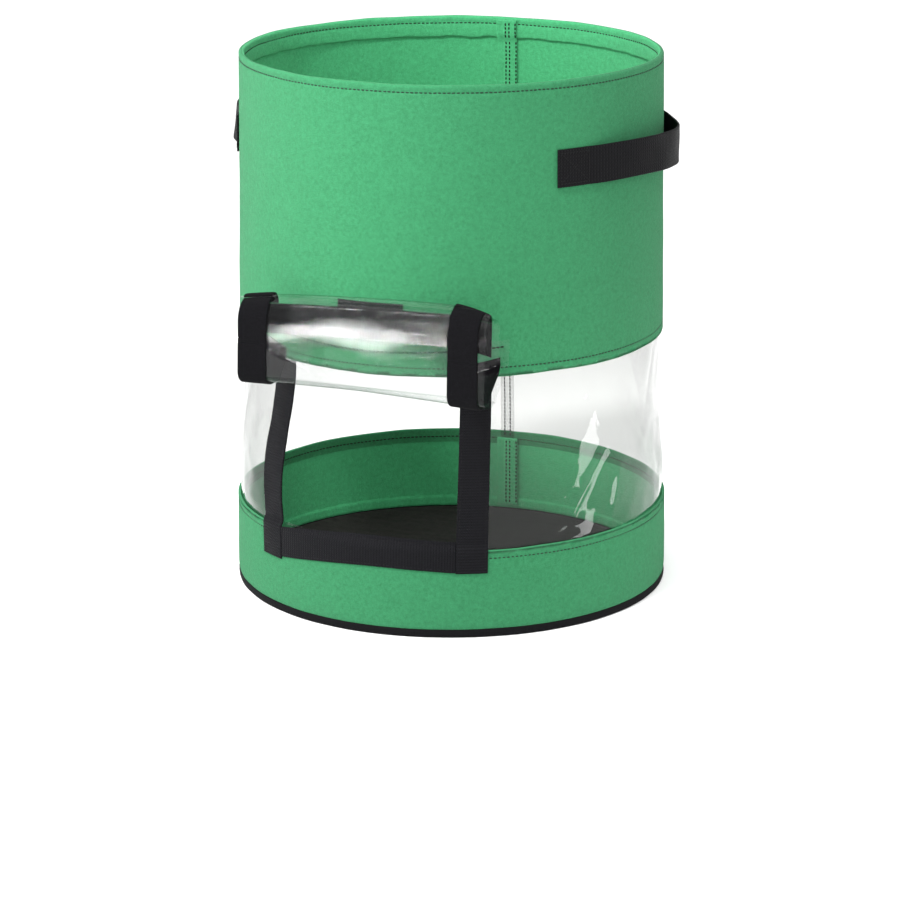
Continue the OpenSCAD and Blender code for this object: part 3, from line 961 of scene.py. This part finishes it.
def grid_sampler(g):
    """surface(row, column) with fractional row and column numbers."""
    def at(row, col):
        nu, nv = g.shape[:2]
        c0 = np.clip(np.floor(col).astype(int), 0, nu - 2)
        r0 = np.clip(np.floor(row).astype(int), 0, nv - 2)
        fc, fr = (col - c0)[..., None], (row - r0)[..., None]
        return ((g[c0, r0] * (1 - fc) + g[c0 + 1, r0] * fc) * (1 - fr)
                + (g[c0, r0 + 1] * (1 - fc) + g[c0 + 1, r0 + 1] * fc) * fr)
    return at


def build_flap():
    g, s = flap_grid()
    sample = grid_sampler(g)
    film_nodes = [["flap_film_top"], ["flap_film_1"], ["flap_film_2"], ["flap_film_3", "flap_film_4"]]
    rows = np.arange(len(s))

    def row_at(distance):
        return np.interp(distance, s, rows)

    def on_film(x, distance):
        return sample(row_at(distance), (x / FILM_HALF + 1) / 2 * (len(FLAP_COLUMNS) - 1))

    tape_row = row_at(s[-1] - TAPE_W)
    for k in range(4):
        r0, r1 = CUT_ROWS[k], CUT_ROWS[k + 1]
        part = g[:, r0:r1 + 1]
        uv = np.stack(np.meshgrid(FLAP_COLUMNS * FILM_HALF, s[r0:r1 + 1], indexing="ij"), -1)
        o = mesh_object("flap_film_sheet_%d" % k, part, grid_faces(part.shape[0], part.shape[1]), uv)
        finish_piece(o, FLAP_FILM, None, film_nodes[k])
        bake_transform(o)
    # loop tapes: on the outer side of the roll, which faces the bag when the flap hangs
    row_start = row_at(27.5)
    for side, middle in (("left", -89.0), ("right", 89.0)):
        for k in range(4):
            ra = row_start if k == 0 else CUT_ROWS[k]
            rb = CUT_ROWS[k + 1] if k < 3 else tape_row - 0.3
            sa, sb = np.interp([ra, rb], rows, s)
            u = lines(sa, sb, 1.3)
            if k == 0:
                u = u[1:]
                u = np.concatenate([sa + 0.8 * np.array([0, 0.08, 0.3, 0.62, 1.0]), u[u > sa + 1.1]])
            v = lines(-TAPE_W / 2, TAPE_W / 2, 2.0, 0.8)
            o = tape_piece("flap_tape_%s_%d_loop" % (side, k + 1), u, v,
                           lambda u, v, middle=middle: on_film(middle + v, u), k == 0)
            finish_piece(o, LOOP_TAPE, None, ["flap_tape_%s_%d" % (side, k + 1)])
            length = np.linalg.norm(np.diff(on_film(np.full_like(u, middle), u), axis=0), axis=1).sum()
            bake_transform(o)

    u, v = lines(-101.5, 101.5, 2.4, 0.8), lines(s[-1] - TAPE_W, s[-1], 1.6, 0.8)
    o = sheet_shell("flap_tape_bottom_loop", u, v, on_film, TAPE_T, lift=1.05)
    finish_piece(o, LOOP_TAPE, "flap_4", ["flap_tape_bottom"])
    # the line of thread that sews the flap to the upper wall
    cols = np.linspace(2, len(FLAP_COLUMNS) - 3, 260)
    p = sample(np.full_like(cols, row_at(10.5)), cols)
    n = p * [1, 1, 0]
    n /= np.linalg.norm(n, axis=1, keepdims=True)
    stitch_line("flap_seam_stitches", p + n * 0.15, n, pitch=3.4, gap=0.10, width=1.3)


def tape_piece(name, u, v, surface, first):
    """A length of loop tape: rounded along its sides, and only at the ends that are true ends."""
    uu, vv = np.meshgrid(u, v, indexing="ij")
    p = surface(uu, vv)
    n = -normals_of(p)      # out of the roll: here u runs down the flap and v across it
    d = np.minimum(vv - v[0], v[-1] - vv)
    if first:
        d = np.minimum(d, uu - u[0])
    half = TAPE_T / 2 * n * rounded(d, 0.8)
    mid = p + n * (0.3 + TAPE_T / 2)
    return closed_sheet(name, mid + half, mid - half, uu, vv,
                        lambda ids: [ids[:, 0], ids[:, -1]] + ([ids[0]] if first else []),
                        ([] if first else [(0, False)]) + [(-1, True)])


# ---- camera, light, floor

def direction(azimuth, elevation):
    """Unit vector towards a light, from an azimuth and an elevation in degrees."""
    a, e = math.radians(azimuth), math.radians(elevation)
    return Vector((math.sin(a) * math.cos(e), -math.cos(a) * math.cos(e), math.sin(e)))


def add_object(name, data):
    o = bpy.data.objects.new(name, data)
    bpy.context.scene.collection.objects.link(o)
    return o


def build_floor():
    s = 14.0
    me = bpy.data.meshes.new("floor")
    me.from_pydata([(-s, -s, 0), (s, -s, 0), (s, s, 0), (-s, s, 0)], [], [(0, 1, 2, 3)])
    floor = add_object("floor", me)
    m, tree, out = new_material("floor_white")
    t = Tree(tree)
    p = t.put(t.node("BsdfDiffuse"), Color=(0.92, 0.92, 0.92, 1))
    tree.links.new(p.outputs[0], out.inputs["Surface"])
    me.materials.append(m)


def build_world():
    """A white studio, brighter overhead than at the sides, as under a large ceiling softbox."""
    world = bpy.data.worlds.new("studio")
    world.use_nodes = True
    bpy.context.scene.world = world
    tree = world.node_tree
    bg = tree.nodes["Background"]
    bg.inputs["Color"].default_value = (1, 1, 1, 1)
    sky = Tree(tree)
    split = sky.node("SeparateXYZ")
    tree.links.new(sky.node("TexCoord").outputs["Generated"], split.inputs[0])
    high = sky.math("POWER", sky.math("MAXIMUM", split.outputs[2], 0.0), 2.0)
    tree.links.new(sky.math("MULTIPLY_ADD", high, 1.5, 0.5), bg.inputs["Strength"])


def area(name, azimuth, elevation, distance, size, power, aim=(0, 0, 0.24), spread=180):
    """A rectangular light that the camera doesn't see, at a distance in metres from what it aims at."""
    light = bpy.data.lights.new(name, "AREA")
    light.shape = "RECTANGLE"
    light.size, light.size_y = size
    light.energy = power
    light.spread = math.radians(spread)
    o = add_object(name, light)
    away = direction(azimuth, elevation)
    o.location = away * distance + Vector(aim)
    o.rotation_euler = (-away).to_track_quat("-Z", "Y").to_euler()
    o.visible_camera = False
    return o


def build_lights():
    area("left_softbox", -55.0, 12, 1.9, (0.9, 1.0), 32)
    area("front_fill", 28.0, 18, 2.2, (0.8, 0.8), 20)
    area("right_strip", 108.0, 14, 1.6, (0.10, 1.1), 7)
    # two small lights for the highlights in the roll and in the band's right side
    area("roll_strip", -22.7, -9.8, 1.0, (1.1, 0.011), 0.12, aim=(0, -0.19, 0.272), spread=34)
    card = area("right_card", 101.1, -16.4, 0.36, (0.17, 0.06), 0.045, aim=(0.151, -0.0805, 0.130), spread=60)
    card.rotation_euler.rotate_axis("Z", math.radians(38))

    spot = bpy.data.lights.new("top_spot", "SPOT")
    spot.energy, spot.shadow_soft_size = 300, 0.22
    spot.spot_size, spot.spot_blend = math.radians(19), 0.5
    o = add_object("top_spot", spot)
    away = direction(-14, 50)
    o.location = Vector((0, 0, 0.27)) + 2.2 * away
    o.rotation_euler = (-away).to_track_quat("-Z", "Y").to_euler()


def build_camera():
    azimuth, pitch, distance, height = math.radians(22.7), math.radians(16.289), 2.7484, 0.901
    aim_left = 0.0017
    cam = bpy.data.cameras.new("camera")
    cam.sensor_width, cam.lens = 36.0, 134.91
    o = add_object("camera", cam)
    o.location = (distance * math.sin(azimuth), -distance * math.cos(azimuth), height)
    o.rotation_euler = (math.pi / 2 - pitch, 0, azimuth - aim_left)
    scene = bpy.context.scene
    scene.camera = o
    scene.view_settings.view_transform = "Standard"
    scene.render.film_transparent = False


build_floor()
build_world()
build_lights()
build_camera()
build_upper_wall()
build_lower_wall()
build_base()
build_binding()
build_band()
side_tape("window_tape_left_sewn", LEFT_TAPE, 46.0, "window_tape_left")
side_tape("window_tape_right_sewn", RIGHT_TAPE, 54.0, "window_tape_right")
bottom_tape()
roll_patch()
strap("right", 90.0, 15.3, (1.6, -2.6), 0.0)
strap("left", -104.0, 24.0, (0.0, 0.0), 7.0)
seam_strip("upper_seam_felt", lambda z: upper_r(z) - FELT, FOOT_Z + 2, RIM_Z - 2.5, "upper_seam_strip",
           step_z=RIM_Z - HEM_DEPTH)
seam_strip("lower_seam_felt", lambda z: lower_r(z) - FELT - 0.9, 5.0, LIP_Z - 6, "lower_seam_strip")
band_seam()
build_flap()

ring_stitches("rim_stitches_outside", HEM_STITCH_Z, felt_outer_upper)
ring_stitches("rim_stitches_inside", HEM_STITCH_Z, lambda d, z: upper_felt(d, z) - 2 * FELT + 0.1, True)
ring_stitches("upper_foot_stitches", FOOT_STITCH_Z, felt_outer_upper)
ring_stitches("lower_lip_stitches", LIP_STITCH_Z, felt_outer_lower)
ring_stitches("lower_lip_stitches_inside", LIP_STITCH_Z, lambda d, z: lower_felt(d, z) - FELT, True)
